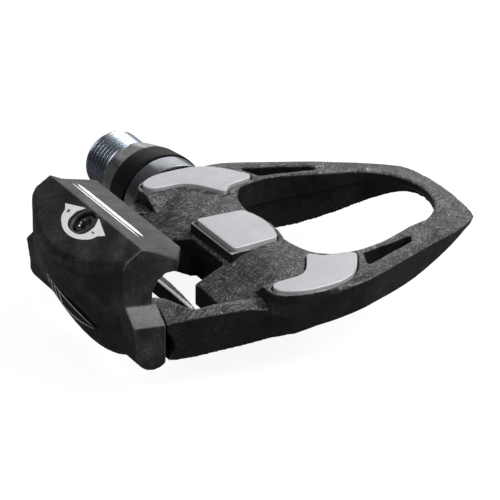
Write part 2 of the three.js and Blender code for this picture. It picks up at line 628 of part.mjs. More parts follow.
// Torsion spring: hooked leg over the nut, coil round the pin, short leg towards the bar.
function torsionSpring(side) {
  const [hookX, hookZ] = inBoltFrame(3.2, -1.5);
  const points = [
    [hookX, SPRING.inner, hookZ], [-40.9, SPRING.inner, 14.6], [-41.1, SPRING.inner, 12.6],
    [-40.6, SPRING.inner, 7], [-39.5, SPRING.inner, 2.4],
  ];
  const steps = Math.round(SPRING.turns * 14);
  for (let i = 0; i <= steps; i += 1) {
    const angle = Math.PI + 2 * Math.PI * SPRING.turns * i / steps;
    const y = SPRING.inner + (SPRING.outer - SPRING.inner) * i / steps;
    points.push([PIVOT.x + SPRING.mean * Math.cos(angle), y, PIVOT.z + SPRING.mean * Math.sin(angle)]);
  }
  points.push([-33.5, SPRING.outer, -2.25], [-28.2, SPRING.outer, -2.25]);
  const path = new THREE.CatmullRomCurve3(points.map(([x, y, z]) => new THREE.Vector3(x, side * y, z)),
    false, 'centripetal');
  const wire = shapeOf(arcPoints(0, 0, SPRING.wire, 0, 300, 5));
  return solidOf(new THREE.ExtrudeGeometry(wire, { extrudePath: path, steps: points.length - 1, bevelEnabled: false }));
}

function pivotBush(side) {
  return ringY(PIVOT.pin + GAP, 2.4, ...spanY(side, EAR.inner + GAP, EAR.boreEnd - GAP), 24)
    .translate(PIVOT.x, 0, PIVOT.z);
}

// ---------------------------------------------------------------- assembly

const pedal = new THREE.Group();
pedal.position.y = -CENTRE;

function place(name, solid, material) {
  const mesh = new THREE.Mesh(geometryOf(solid), material);
  mesh.name = name;
  pedal.add(mesh);
}

place('spindle', spindle(), axleSteel);
place('cone', cone(), bearingSteel);
place('cone_lock_nut', coneLockNut(), blackSteel);

place('carbon_body', carbonBody(), carbon);
place('lock_collar', lockCollar(), blackCollar);
place('dust_seal', dustSeal(), sealRubber);
place('axle_sleeve', axleSleeve(), glossBlack);
place('inboard_ball_row', ballRow(ROW.inboard), bearingSteel);
place('needle_bearing', needleRow(ROW.needleStart, ROW.needleEnd), bearingSteel);
place('outboard_ball_row', ballRow(ROW.outboard), bearingSteel);

place('wear_plate_centre', wearPlate(PLATE_OUTLINE.centre, STUDS.centre, STUD_DEPTH.centre), brushedPlate);
for (const [name, side] of [['wear_plate_crank_side', 1], ['wear_plate_outer_side', -1]]) {
  const flip = ([x, y]) => [x, side * y];
  place(name, wearPlate(PLATE_OUTLINE.side.map(flip), STUDS.side.map(flip), STUD_DEPTH.side), brushedPlate);
}
place('pivot_pin', rodY(PIVOT.pin, -PIVOT.pinHalf, PIVOT.pinHalf, PIVOT.x, PIVOT.z, 24), blackSteel);

place('claw', claw(), clawPlastic);
place('tension_badge', tensionBadge(), badgeSilver);
for (const [name, side] of [['crank_side', 1], ['outer_side', -1]]) {
  place(`pivot_bush_${name}`, pivotBush(side), bushPlastic);
  place(`torsion_spring_${name}`, torsionSpring(side), springSteel);
}

place('tension_bolt', tensionBolt(), blackSteel);
place('tension_nut', tensionNut(), blackSteel);

export default pedal;
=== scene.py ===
import math

import bmesh
import bpy
import numpy as np
from mathutils import Matrix, Vector


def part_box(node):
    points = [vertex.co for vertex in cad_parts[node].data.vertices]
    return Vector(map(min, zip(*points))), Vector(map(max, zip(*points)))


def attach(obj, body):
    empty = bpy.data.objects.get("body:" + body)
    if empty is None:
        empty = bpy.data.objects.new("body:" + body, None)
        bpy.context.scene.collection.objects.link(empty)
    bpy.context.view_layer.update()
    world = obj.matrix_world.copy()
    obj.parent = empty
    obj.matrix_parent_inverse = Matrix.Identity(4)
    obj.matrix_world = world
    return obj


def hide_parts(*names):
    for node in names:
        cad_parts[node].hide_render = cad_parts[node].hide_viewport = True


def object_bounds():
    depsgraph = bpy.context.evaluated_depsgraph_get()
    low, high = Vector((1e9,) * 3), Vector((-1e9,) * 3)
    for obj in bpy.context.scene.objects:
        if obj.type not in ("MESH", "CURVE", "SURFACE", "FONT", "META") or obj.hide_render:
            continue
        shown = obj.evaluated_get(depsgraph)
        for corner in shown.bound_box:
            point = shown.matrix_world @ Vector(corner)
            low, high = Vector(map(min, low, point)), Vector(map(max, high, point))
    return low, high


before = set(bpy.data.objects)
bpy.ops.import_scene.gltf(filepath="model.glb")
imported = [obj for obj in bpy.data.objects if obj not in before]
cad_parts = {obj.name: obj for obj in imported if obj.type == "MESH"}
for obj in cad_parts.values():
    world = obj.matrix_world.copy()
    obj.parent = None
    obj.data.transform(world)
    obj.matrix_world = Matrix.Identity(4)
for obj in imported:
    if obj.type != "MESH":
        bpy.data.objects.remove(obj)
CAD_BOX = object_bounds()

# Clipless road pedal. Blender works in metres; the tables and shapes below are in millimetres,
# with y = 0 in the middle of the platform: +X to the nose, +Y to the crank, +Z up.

MM = 0.001
TAU = 2 * math.pi
CENTRE = 52.0            # crank shoulder to the middle of the platform

THREAD = {"pitch": 1.27, "major": 7.14, "minor": 6.34, "root": 6.2, "start": 53.3, "tip": 63.3}
FLANGE = {"radius": 8.75, "apothem": 8.25, "inner": 47.2, "shoulder": 52.0, "relief": 7.4}
SOCKET_APOTHEM = 4.0     # 8 mm hexagon key
ROW = {"pitch": 4.9, "ball": 1.0, "count": 10, "inboard": 27.0, "outboard": -1.5}
NEEDLES = (12.0, 22.0)
PIVOT = (-36.5, 0.0)     # x and z of the pin the claw turns about
PIN_RADIUS = 1.6
SPRING = {"mean": 2.6, "wire": 0.65, "inner": 6.5, "outer": 12.6, "turns": 4.25}
BOLT = (-39.83, 20.16)   # x and z where the tension bolt's axis leaves the claw
FACET_SLOPE = math.radians(31)
FACET_DEPTH = 0.22       # the facet, measured down the bolt's axis
PLATE_TOP = 9.9
PLATE_THICKNESS = 1.5
BADGE = {"reach": 9.6, "half_length": 9.7, "middle": 2.9, "slope": 0.31, "rise": 1.15, "height": 2.9}
MOST_TRIANGLES = 185000  # of a remeshed piece
RELAX = 0.5              # how far one smoothing pass moves a point towards its neighbours
SOFTEN_PASSES = 40
FILM = (0.06, -0.045)    # underside and top of printed ink, as depths below the surface


def at(x, y, z):
    return Vector((x * MM, (y - CENTRE) * MM, z * MM))


# ---------------------------------------------------------------- mesh helpers

class Axis:
    """A straight line with a cross-section plane: a point is a radius, an angle and a distance."""

    def __init__(self, origin, along, u):
        self.origin = origin
        self.along = along.normalized()
        self.u = u.normalized()
        self.v = self.u.cross(self.along)

    def point(self, radius, angle, distance):
        spoke = self.u * math.cos(angle) + self.v * math.sin(angle)
        return self.origin + (self.along * distance + spoke * radius) * MM


AXLE = Axis(at(0, 0, 0), Vector((0, 1, 0)), Vector((1, 0, 0)))
PIVOT_AXIS = Axis(at(PIVOT[0], 0, PIVOT[1]), Vector((0, 1, 0)), Vector((1, 0, 0)))
INWARD = Vector((math.sin(FACET_SLOPE), 0, -math.cos(FACET_SLOPE)))
ACROSS = Vector((math.cos(FACET_SLOPE), 0, math.sin(FACET_SLOPE)))
BOLT_AXIS = Axis(at(BOLT[0], 0, BOLT[1]), INWARD, ACROSS)


class Shell:
    """Points and faces of one piece, gathered from one or more closed forms."""

    def __init__(self):
        self.points = []
        self.faces = []
        self.kinds = []

    def face(self, corners, kind=0):
        corners = list(dict.fromkeys(corners))
        if len(corners) > 2:
            self.faces.append(corners)
            self.kinds.append(kind)

    def skin(self, rows, kind=0):
        """Quads between rows of points. A row of one point closes the form."""
        starts = []
        for row in rows:
            starts.append(len(self.points))
            self.points.extend(row)
        for i in range(len(rows) - 1):
            here, there = len(rows[i]), len(rows[i + 1])
            count = max(here, there)
            band = kind(i) if callable(kind) else kind
            for j in range(count):
                k = (j + 1) % count
                self.face([starts[i] + j % here, starts[i] + k % here,
                           starts[i + 1] + k % there, starts[i + 1] + j % there], band)
        return starts

    def capped(self, rows, kind=0):
        """A skin whose first and last rows are filled."""
        starts = self.skin(rows, kind)
        self.face(range(starts[0], starts[0] + len(rows[0])), kind)
        self.face(range(starts[-1], starts[-1] + len(rows[-1])), kind)

    def lathe(self, axis, profile, sides, kind=0):
        """Rows of a profile of (radius, distance). A radius may depend on the angle."""
        rows = []
        for radius, distance in profile:
            if radius == 0:
                rows.append([axis.point(0, 0, distance)])
                continue
            angles = [TAU * j / sides for j in range(sides)]
            reach = radius if callable(radius) else lambda angle, r=radius: r
            rows.append([axis.point(reach(a), a, distance) for a in angles])
        self.skin(rows, kind)

    def ring(self, axis, profile, radius, sides):
        """A closed profile turned into a ring, its corners rounded."""
        soft = rounded(profile, radius)
        self.lathe(axis, soft + soft[:1], sides)

    def rod(self, axis, radius, low, high, edge, sides):
        """A round bar with rounded ends."""
        quarter = [TAU / 4 * i / 4 for i in range(5)]
        inner = radius - edge
        start = [(inner + edge * math.sin(a), low + edge - edge * math.cos(a)) for a in quarter]
        end = [(inner + edge * math.cos(a), high - edge + edge * math.sin(a)) for a in quarter]
        self.lathe(axis, [(0, low)] + start + end + [(0, high)], sides)

    def ball(self, centre, radius, sides):
        steps = sides // 2
        axis = Axis(centre, Vector((0, 1, 0)), Vector((1, 0, 0)))
        arc = [(radius * math.sin(math.pi * i / steps), -radius * math.cos(math.pi * i / steps))
               for i in range(1, steps)]
        self.lathe(axis, [(0, -radius)] + arc + [(0, radius)], sides)

    def tube(self, path, radius, sides):
        """A round wire along a path in metres, with domed ends."""
        rows = []
        side = Vector((0.3, 0.2, 0.9))
        last = len(path) - 1
        for i, point in enumerate(path):
            along = (path[min(i + 1, last)] - path[max(i - 1, 0)]).normalized()
            side = (side - along * side.dot(along)).normalized()
            rows.append((point, along, side, along.cross(side)))

        def circle(row, reach, ahead):
            point, along, u, v = row
            middle = point + along * ahead * MM
            angles = [TAU * j / sides for j in range(sides)]
            return [middle + (u * math.cos(a) + v * math.sin(a)) * reach * MM for a in angles]

        dome = [(radius * math.cos(a), radius * math.sin(a)) for a in (0.4, 0.8, 1.2)]
        body = [circle(row, radius, 0) for row in rows]
        tail = [circle(rows[0], r, -d) for r, d in reversed(dome)]
        nose = [circle(rows[-1], r, d) for r, d in dome]
        first = [rows[0][0] - rows[0][1] * radius * MM]
        final = [rows[-1][0] + rows[-1][1] * radius * MM]
        self.skin([first] + tail + body + nose + [final])

    def object(self, name, finishes, sharp=32):
        mesh = bpy.data.meshes.new(name)
        mesh.from_pydata([tuple(p) for p in self.points], [], self.faces)
        for finish in finishes:
            mesh.materials.append(finish)
        mesh.polygons.foreach_set("material_index", self.kinds)
        work = bmesh.new()
        work.from_mesh(mesh)
        bmesh.ops.remove_doubles(work, verts=work.verts, dist=1e-7)
        many = [f for f in work.faces if len(f.verts) > 4]
        bmesh.ops.triangulate(work, faces=many, ngon_method="EAR_CLIP")
        bmesh.ops.recalc_face_normals(work, faces=work.faces)
        work.to_mesh(mesh)
        work.free()
        return placed(name, mesh, sharp)


def placed(name, mesh, sharp):
    mesh.polygons.foreach_set("use_smooth", [True] * len(mesh.polygons))
    mesh.set_sharp_from_angle(angle=math.radians(sharp))
    piece = bpy.data.objects.new(name, mesh)
    bpy.context.scene.collection.objects.link(piece)
    return piece


def rounded(profile, radius, steps=4):
    """A closed profile with each corner replaced by a short curve."""
    soft = []
    for i, corner in enumerate(profile):
        here = Vector(corner)
        before = Vector(profile[i - 1]) - here
        after = Vector(profile[(i + 1) % len(profile)]) - here
        start = here + before.normalized() * min(radius, before.length * 0.48)
        end = here + after.normalized() * min(radius, after.length * 0.48)
        for k in range(steps + 1):
            t = k / steps
            soft.append(tuple(start * (1 - t) ** 2 + here * 2 * t * (1 - t) + end * t ** 2))
    return soft


def inset(outline, distance):
    """A ring of (x, y) points moved inwards by a distance."""
    count = len(outline)
    area = sum(outline[i - 1][0] * outline[i][1] - outline[i][0] * outline[i - 1][1]
               for i in range(count))
    sign = 1 if area > 0 else -1
    moved = []
    for i, (x, y) in enumerate(outline):
        x0, y0 = outline[i - 1]
        x1, y1 = outline[(i + 1) % count]
        along = Vector((x1 - x0, y1 - y0)).normalized()
        moved.append((x - sign * along.y * distance, y + sign * along.x * distance))
    return moved


def flowing(points, steps=6):
    """A smooth open line through points in the plane."""
    line = []
    ends = [points[0]] + list(points) + [points[-1]]
    for i in range(1, len(ends) - 2):
        a, b, c, d = (Vector(ends[i + k]) for k in (-1, 0, 1, 2))
        for k in range(steps):
            t = k / steps
            line.append(tuple(0.5 * (b * 2 + (c - a) * t + (a * 2 - b * 5 + c * 4 - d) * t ** 2
                                     + (b * 3 - a - c * 3 + d) * t ** 3)))
    return line + [tuple(points[-1])]


def flat_side(apothem, sides, turn=0.0):
    """Radius of a polygon as a function of the angle; turn is the angle of one flat."""
    step = TAU / sides
    return lambda angle: apothem / math.cos((angle - turn + step / 2) % step - step / 2)


def mark_edges(mesh, passes=3):
    """Stores how sharply the surface turns outwards, for the painted highlights along its edges."""
    count = len(mesh.vertices)
    place = np.empty(count * 3)
    normal = np.empty(count * 3)
    pairs = np.empty(len(mesh.edges) * 2, dtype=np.int32)
    mesh.vertices.foreach_get("co", place)
    mesh.vertices.foreach_get("normal", normal)
    mesh.edges.foreach_get("vertices", pairs)
    place = place.reshape(-1, 3)
    a, b = pairs.reshape(-1, 2).T
    near = np.bincount(a, minlength=count) + np.bincount(b, minlength=count)

    def around(values):
        total = np.bincount(a, values[b], count) + np.bincount(b, values[a], count)
        return total / np.maximum(near, 1)

    step = np.linalg.norm(place[a] - place[b], axis=1).mean()
    pull = np.stack([around(place[:, k]) - place[:, k] for k in range(3)], axis=1)
    bend = -(pull * normal.reshape(-1, 3)).sum(axis=1) * MM / step ** 2
    for _ in range(passes):
        bend = (bend + around(bend)) / 2
    stored = mesh.attributes.new("edge", "FLOAT", "POINT")
    stored.data.foreach_set("value", np.clip(bend, 0, 1))


def welded(node, name):
    """A copy of a CAD node's mesh with its corners joined."""
    work = bmesh.new()
    work.from_mesh(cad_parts[node].data)
    bmesh.ops.remove_doubles(work, verts=work.verts, dist=1e-6)
    bmesh.ops.recalc_face_normals(work, faces=work.faces)
    mesh = bpy.data.meshes.new(name)
    work.to_mesh(mesh)
    work.free()
    return mesh


def applied(mesh, add_modifiers):
    """The mesh with modifiers made permanent."""
    carrier = bpy.data.objects.new("carrier", mesh)
    bpy.context.scene.collection.objects.link(carrier)
    add_modifiers(carrier)
    graph = bpy.context.evaluated_depsgraph_get()
    result = bpy.data.meshes.new_from_object(carrier.evaluated_get(graph))
    bpy.data.objects.remove(carrier)
    return result


def rounded_copy(node, name, voxel, passes, finishes, heavy=None, carve=None):
    """A piece in the shape of a CAD node, its edges softened; voxel is in millimetres.
    heavy(x, y, z, normal) is how much more a point is smoothed, and carve moves it along X."""

    def remesh(carrier):
        step = carrier.modifiers.new("remesh", "REMESH")
        step.mode = "VOXEL"
        step.voxel_size = voxel * MM

    mesh = applied(welded(node, name), remesh)
    if carve:
        for vertex in mesh.vertices:
            x, y, z = vertex.co / MM
            vertex.co.x += carve(x, y + CENTRE, z) * MM

    def relax(carrier):
        step = carrier.modifiers.new("relax", "SMOOTH")
        step.factor = RELAX
        step.iterations = passes
        if heavy:
            group = carrier.vertex_groups.new(name="soft")
            for vertex in carrier.data.vertices:
                x, y, z = vertex.co / MM
                amount = heavy(x, y + CENTRE, z, vertex.normal)
                if amount > 0:
                    group.add([vertex.index], amount, "REPLACE")
            more = carrier.modifiers.new("soften", "SMOOTH")
            more.factor = RELAX
            more.iterations = SOFTEN_PASSES
            more.vertex_group = "soft"
        count = 2 * len(carrier.data.polygons)
        if count > MOST_TRIANGLES:
            thin = carrier.modifiers.new("thin", "DECIMATE")
            thin.ratio = MOST_TRIANGLES / count

    mesh = applied(mesh, relax)
    mesh.name = name
    mark_edges(mesh)
    mesh.materials.clear()
    for finish in finishes:
        mesh.materials.append(finish)
    return placed(name, mesh, 60)


def fit(piece, body, slot, *nodes):
    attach(piece, body)
    if nodes:
        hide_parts(*nodes)


# ---------------------------------------------------------------- material helpers

class Finish:
    """A node material: a shader with its fixed values, and textures in object coordinates."""

    def __init__(self, name, colour, roughness, metallic=0.0, specular=0.5):
        self.material = bpy.data.materials.new(name)
        self.material.use_nodes = True
        self.tree = self.material.node_tree
        self.shader = self.tree.nodes["Principled BSDF"]
        self.set("Base Color", (*colour, 1))
        self.set("Roughness", roughness)
        self.set("Metallic", metallic)
        self.set("Specular IOR Level", specular)
        self.place = self.node("ShaderNodeTexCoord").outputs["Object"]
        self.height = None

    def set(self, socket, value):
        self.shader.inputs[socket].default_value = value

    def node(self, kind, **settings):
        made = self.tree.nodes.new(kind)
        for key, value in settings.items():
            setattr(made, key, value)
        return made

    def join(self, source, target):
        self.tree.links.new(source, target)

    def feed(self, source, socket):
        self.join(source, self.shader.inputs[socket])

    def put(self, value, socket):
        """Links a texture's output to a socket, or sets the socket to a plain value."""
        if isinstance(value, bpy.types.NodeSocket):
            self.join(value, socket)
        else:
            socket.default_value = value

    def fill(self, node, **values):
        for key, value in values.items():
            self.put(value, node.inputs[key])

    def scaled(self, x, y, z, place=None):
        """Object coordinates times a count per metre on each axis."""
        node = self.node("ShaderNodeVectorMath", operation="MULTIPLY")
        self.join(place or self.place, node.inputs[0])
        node.inputs[1].default_value = (x, y, z)
        return node.outputs[0]

    def noise(self, size, detail=3.0, rough=0.55, place=None):
        """Soft noise; size is that of its features, in millimetres."""
        node = self.node("ShaderNodeTexNoise")
        self.fill(node, Vector=place or self.place, Scale=1 / (size * MM),
                  Detail=detail, Roughness=rough)
        return node.outputs["Fac"]

    def cells(self, size, place=None):
        node = self.node("ShaderNodeTexVoronoi")
        self.fill(node, Vector=place or self.place, Scale=1 / (size * MM))
        return node

    def tones(self, source, *stops):
        """A colour ramp of (position, value or colour)."""
        node = self.node("ShaderNodeValToRGB")
        ramp = node.color_ramp
        while len(ramp.elements) < len(stops):
            ramp.elements.new(0.5)
        for element, (position, value) in zip(ramp.elements, stops):
            element.position = position
            colour = value if isinstance(value, tuple) else (value, value, value)
            element.color = (*colour, 1)
        self.join(source, node.inputs["Fac"])
        return node.outputs["Color"]

    def mix(self, factor, first, second, blend="MIX"):
        node = self.node("ShaderNodeMix", data_type="RGBA", blend_type=blend)
        for value, socket in ((factor, 0), (first, 6), (second, 7)):
            self.put(value, node.inputs[socket])
        return node.outputs[2]

    def sums(self, operation, first, second):
        node = self.node("ShaderNodeMath", operation=operation)
        self.put(first, node.inputs[0])
        self.put(second, node.inputs[1])
        return node.outputs[0]

    def bump(self, height, strength, depth):
        """Relief; depth is in millimetres. Each call adds to the last."""
        node = self.node("ShaderNodeBump")
        self.fill(node, Height=height, Strength=strength, Distance=depth * MM)
        if self.height:
            self.join(self.height, node.inputs["Normal"])
        self.height = node.outputs["Normal"]
        self.feed(self.height, "Normal")

    def edges(self, low, high):
        """White on sharp outer edges, black elsewhere: the mask for painted edge highlights."""
        node = self.node("ShaderNodeAttribute", attribute_name="edge")
        return self.tones(node.outputs["Fac"], (low, 0.0), (high, 1.0))

    def upward(self, low, high):
        """White where the surface faces up in the part's own frame, black on its walls: the mask for
        painted light and shade.
        """
        split = self.node("ShaderNodeSeparateXYZ")
        coordinates = self.node("ShaderNodeTexCoord")
        self.join(coordinates.outputs["Normal"], split.inputs[0])
        return self.tones(split.outputs["Z"], (low, 0.0), (high, 1.0))

    def streaks(self, cell, width, length, seed):
        """Short fibres lying in a different direction in each cell."""
        shifted = self.node("ShaderNodeVectorMath", operation="ADD")
        self.join(self.place, shifted.inputs[0])
        shifted.inputs[1].default_value = (seed, seed * 0.7, -seed)
        colour = self.cells(cell, shifted.outputs[0]).outputs["Color"]
        turn = self.node("ShaderNodeVectorMath", operation="MULTIPLY")
        self.join(colour, turn.inputs[0])
        turn.inputs[1].default_value = (0.6, 0.6, TAU)
        spun = self.node("ShaderNodeVectorRotate", rotation_type="EULER_XYZ")
        self.join(shifted.outputs[0], spun.inputs["Vector"])
        self.join(turn.outputs[0], spun.inputs["Rotation"])
        stretched = self.scaled(1 / (width * MM), 1 / (length * MM), 1 / (width * MM), spun.outputs[0])
        node = self.node("ShaderNodeTexNoise")
        self.fill(node, Vector=stretched, Scale=1.0, Detail=2.0, Roughness=0.6)
        return node.outputs["Fac"]


def carbon():
    """Moulded chopped-fibre composite: short bright fibres in every direction in a dark resin, drawn
    brighter as painted light on faces turned up and darker as painted shade on the walls, with a painted
    highlight along upward edges.
    """
    f = Finish("chopped_carbon", (0.03, 0.03, 0.032), 0.42, specular=0.35)
    fine = f.streaks(3.6, 0.2, 3.0, 0.0)
    broad = f.streaks(6.0, 0.4, 5.0, 0.013)
    clouds = f.noise(4.5, 5.0, 0.62)
    fibre = f.sums("ADD", f.sums("MULTIPLY", fine, 0.62), f.sums("MULTIPLY", broad, 0.38))
    # painted light: the fibre tones given to faces that turn up
    top_painted_light_tones = f.tones(fibre, (0.38, (0.006, 0.006, 0.0065)), (0.48, (0.04, 0.04, 0.041)),
                   (0.58, (0.16, 0.16, 0.16)), (0.68, (0.5, 0.5, 0.495)))
    # painted shade: the darker fibre tones given to the walls
    wall_painted_shade_tones = f.tones(fibre, (0.42, (0.005, 0.005, 0.0055)), (0.56, (0.013, 0.013, 0.0135)),
                      (0.68, (0.06, 0.06, 0.06)))
    # painted light and shade: the two tones mixed by how far the face turns up
    lit = f.mix(f.upward(0.15, 0.75), wall_painted_shade_tones, top_painted_light_tones)
    resin = f.tones(clouds, (0.34, (0.28, 0.28, 0.28)), (0.62, (1.0, 1.0, 1.0)))
    base = f.mix(1.0, lit, resin, "MULTIPLY")
    # painted highlight: sharp edges that face up are drawn light grey
    rim = f.sums("MULTIPLY", f.edges(0.066, 0.1), f.upward(0.25, 0.5))
    with_painted_edge_highlight = f.mix(rim, base, (0.5, 0.5, 0.5, 1))
    f.feed(with_painted_edge_highlight, "Base Color")
    f.feed(f.tones(fibre, (0.35, 0.52), (0.65, 0.33)), "Roughness")
    f.bump(fibre, 0.5, 0.06)
    f.bump(f.noise(0.3, 2.0), 0.15, 0.03)
    return f.material


def blasted_plate():
    """Stainless wear plate, fine blasted grain with faint rolling lines."""
    f = Finish("blasted_plate", (0.6, 0.6, 0.62), 0.6, metallic=0.65, specular=0.5)
    grain = f.noise(0.12, 3.0, 0.6)
    lines = f.noise(1.0, 3.0, 0.6, f.scaled(0.12, 2.2, 1.0))
    patches = f.noise(5.0, 3.0)
    tone = f.sums("ADD", f.sums("MULTIPLY", grain, 0.65),
                  f.sums("ADD", f.sums("MULTIPLY", lines, 0.1), f.sums("MULTIPLY", patches, 0.25)))
    plain = f.tones(tone, (0.3, (0.5, 0.5, 0.52)), (0.7, (0.72, 0.72, 0.74)))
    f.feed(plain, "Base Color")
    f.feed(f.tones(tone, (0.3, 0.68), (0.7, 0.56)), "Roughness")
    f.bump(grain, 0.3, 0.02)
    return f.material


def moulded_black():
    """Glass-filled black plastic of the claw: blasted mould texture, faint grey mottling, and a painted
    highlight along its sharp edges.
    """
    f = Finish("moulded_black", (0.02, 0.02, 0.022), 0.42, specular=0.42)
    grain = f.noise(0.26, 2.0, 0.7)
    coarse = f.noise(0.7, 3.0, 0.6)
    clouds = f.noise(5.0, 4.0)
    tone = f.sums("ADD", f.sums("MULTIPLY", grain, 0.6), f.sums("MULTIPLY", clouds, 0.4))
    plain = f.tones(tone, (0.4, (0.004, 0.004, 0.005)), (0.51, (0.014, 0.014, 0.016)),
                    (0.6, (0.06, 0.06, 0.063)))
    # painted highlight: the claw's sharp edges are drawn lighter grey
    f.feed(f.mix(f.edges(0.12, 0.5), plain, (0.1, 0.1, 0.103, 1)), "Base Color")
    f.feed(f.tones(tone, (0.3, 0.5), (0.7, 0.36)), "Roughness")
    f.bump(coarse, 0.12, 0.04)
    f.bump(grain, 0.35, 0.035)
    return f.material


def thread_steel():
    """Bright nickel-plated steel of the thread, cold in tone."""
    f = Finish("thread_steel", (0.4, 0.46, 0.54), 0.26, metallic=1.0)
    turned = f.noise(1.0, 3.0, 0.6, f.scaled(0.3, 9.0, 0.3))
    spots = f.noise(0.8, 4.0)
    tone = f.sums("ADD", f.sums("MULTIPLY", turned, 0.6), f.sums("MULTIPLY", spots, 0.4))
    f.feed(f.tones(tone, (0.3, (0.26, 0.31, 0.38)), (0.7, (0.46, 0.51, 0.57))), "Base Color")
    f.feed(f.tones(tone, (0.3, 0.3), (0.7, 0.22)), "Roughness")
    f.bump(turned, 0.03, 0.004)
    return f.material


def flange_steel():
    """Satin steel of the shoulder: a finely turned face with uneven patches."""
    f = Finish("flange_steel", (0.5, 0.5, 0.49), 0.36, metallic=1.0)
    turned = f.noise(1.0, 3.0, 0.6, f.scaled(0.5, 7.0, 0.5))
    patches = f.noise(1.6, 4.0, 0.6)
    tone = f.sums("ADD", f.sums("MULTIPLY", turned, 0.4), f.sums("MULTIPLY", patches, 0.6))
    plain = f.tones(tone, (0.32, (0.3, 0.3, 0.29)), (0.7, (0.62, 0.61, 0.6)))
    f.feed(plain, "Base Color")
    f.feed(f.tones(tone, (0.3, 0.46), (0.7, 0.28)), "Roughness")
    f.bump(patches, 0.15, 0.02)
    return f.material


def plain_black(name, tint, roughness, grain_size, relief, specular=0.5):
    """Black part with a fine grain and slight mottling."""
    f = Finish(name, (tint, tint, tint * 1.04), roughness, specular=specular)
    grain = f.noise(grain_size, 3.0)
    clouds = f.noise(grain_size * 18, 3.0)
    tone = f.sums("ADD", f.sums("MULTIPLY", grain, 0.5), f.sums("MULTIPLY", clouds, 0.5))
    f.feed(f.tones(tone, (0.3, tint * 0.6), (0.7, tint * 1.6)), "Base Color")
    f.feed(f.tones(tone, (0.3, min(1.0, roughness * 1.15)), (0.7, roughness * 0.85)), "Roughness")
    f.bump(grain, relief, 0.02)
    return f.material


def worked_metal(name, dark, light, roughness, size, metallic=1.0):
    """Metal with grinding marks and slight staining."""
    f = Finish(name, light, roughness, metallic=metallic)
    marks = f.noise(size, 3.0, 0.6, f.scaled(0.4, 3.0, 0.4))
    stain = f.noise(size * 6, 4.0)
    tone = f.sums("ADD", f.sums("MULTIPLY", marks, 0.5), f.sums("MULTIPLY", stain, 0.5))
    f.feed(f.tones(tone, (0.3, dark), (0.7, light)), "Base Color")
    f.feed(f.tones(tone, (0.3, roughness * 1.3), (0.7, roughness * 0.8)), "Roughness")
    f.bump(marks, 0.15, 0.01)
    return f.material


def marking_white():
    """White pad-printed ink with a slightly uneven cover."""
    f = Finish("marking_white", (0.8, 0.8, 0.8), 0.5)
    cover = f.noise(0.3, 3.0, 0.6)
    f.feed(f.tones(cover, (0.25, (0.75, 0.75, 0.75)), (0.5, (0.92, 0.92, 0.92))), "Base Color")
    f.bump(cover, 0.2, 0.01)
    return f.material


CARBON = carbon()
PLATE = blasted_plate()
CLAW_BLACK = moulded_black()
THREAD_STEEL = thread_steel()
FLANGE_STEEL = flange_steel()
COLLAR_BLACK = plain_black("collar_black", 0.006, 0.5, 0.2, 0.25, specular=0.16)
SEAL_RUBBER = plain_black("seal_rubber", 0.018, 0.75, 0.15, 0.3, specular=0.3)
BUSH_PLASTIC = plain_black("bush_plastic", 0.03, 0.6, 0.2, 0.2)
SHAFT_STEEL = worked_metal("ground_steel", (0.5, 0.5, 0.5), (0.7, 0.7, 0.72), 0.25, 0.5)
BEARING_STEEL = worked_metal("bearing_steel", (0.62, 0.62, 0.64), (0.82, 0.82, 0.84), 0.14, 0.6)
BLACK_STEEL = worked_metal("black_steel", (0.015, 0.015, 0.018), (0.06, 0.06, 0.066), 0.35, 0.4)
SCREW_STEEL = worked_metal("screw_steel", (0.1, 0.1, 0.105), (0.34, 0.34, 0.35), 0.26, 0.3)
SPRING_STEEL = worked_metal("spring_steel", (0.3, 0.3, 0.32), (0.55, 0.55, 0.58), 0.3, 0.3)
BADGE_METAL = worked_metal("badge_metal", (0.65, 0.65, 0.66), (0.95, 0.95, 0.96), 0.32, 0.35, 0.1)
BADGE_BLACK = plain_black("badge_black", 0.01, 0.3, 0.3, 0.05)
SLEEVE_BLACK = worked_metal("sleeve_black", (0.28, 0.29, 0.31), (0.4, 0.415, 0.44), 0.22, 0.5)
INK = marking_white()


# ---------------------------------------------------------------- spindle and bearings

def chamfered(shape, cap):
    """A polygon's radius, cut down to a circle."""
    return lambda angle: min(shape(angle), cap)


TOOTH = [(0.0, 1.0), (0.06, 1.0), (0.1, 0.93), (0.25, 0.5), (0.42, 0.03), (0.5, 0.0), (0.58, 0.03),
         (0.75, 0.5), (0.9, 0.93), (0.94, 1.0)]      # part of a turn, height of the flank


def add_thread(shell, axis, pitch, minor, start, tip, limit, sides, kind=0):
    """A right-hand helical thread; limit(distance) is the radius it is cut down to."""
    reach = limit((start + tip) / 2) - minor
    first = math.floor(start / pitch) - 1
    last = math.ceil(tip / pitch) + 1
    starts = []
    for turn in range(first, last + 1):
        for phase, height in TOOTH:
            starts.append(len(shell.points))
            for j in range(sides + 1):
                distance = min(tip, max(start, pitch * (turn + phase - j / sides)))
                radius = min(minor + reach * height, limit(distance))
                shell.points.append(axis.point(radius, TAU * (j % sides) / sides, distance))
    for low, high in zip(starts, starts[1:]):
        for j in range(sides):
            shell.face([low + j, low + j + 1, high + j + 1, high + j], kind)


def even_thread(piece, kind):
    """Smooth shading right over the thread's crests, so that its lines run unbroken."""
    mesh = piece.data
    flanks = {key for face in mesh.polygons if face.material_index == kind for key in face.edge_keys}
    for edge in mesh.edges:
        if edge.key in flanks:
            edge.use_edge_sharp = False


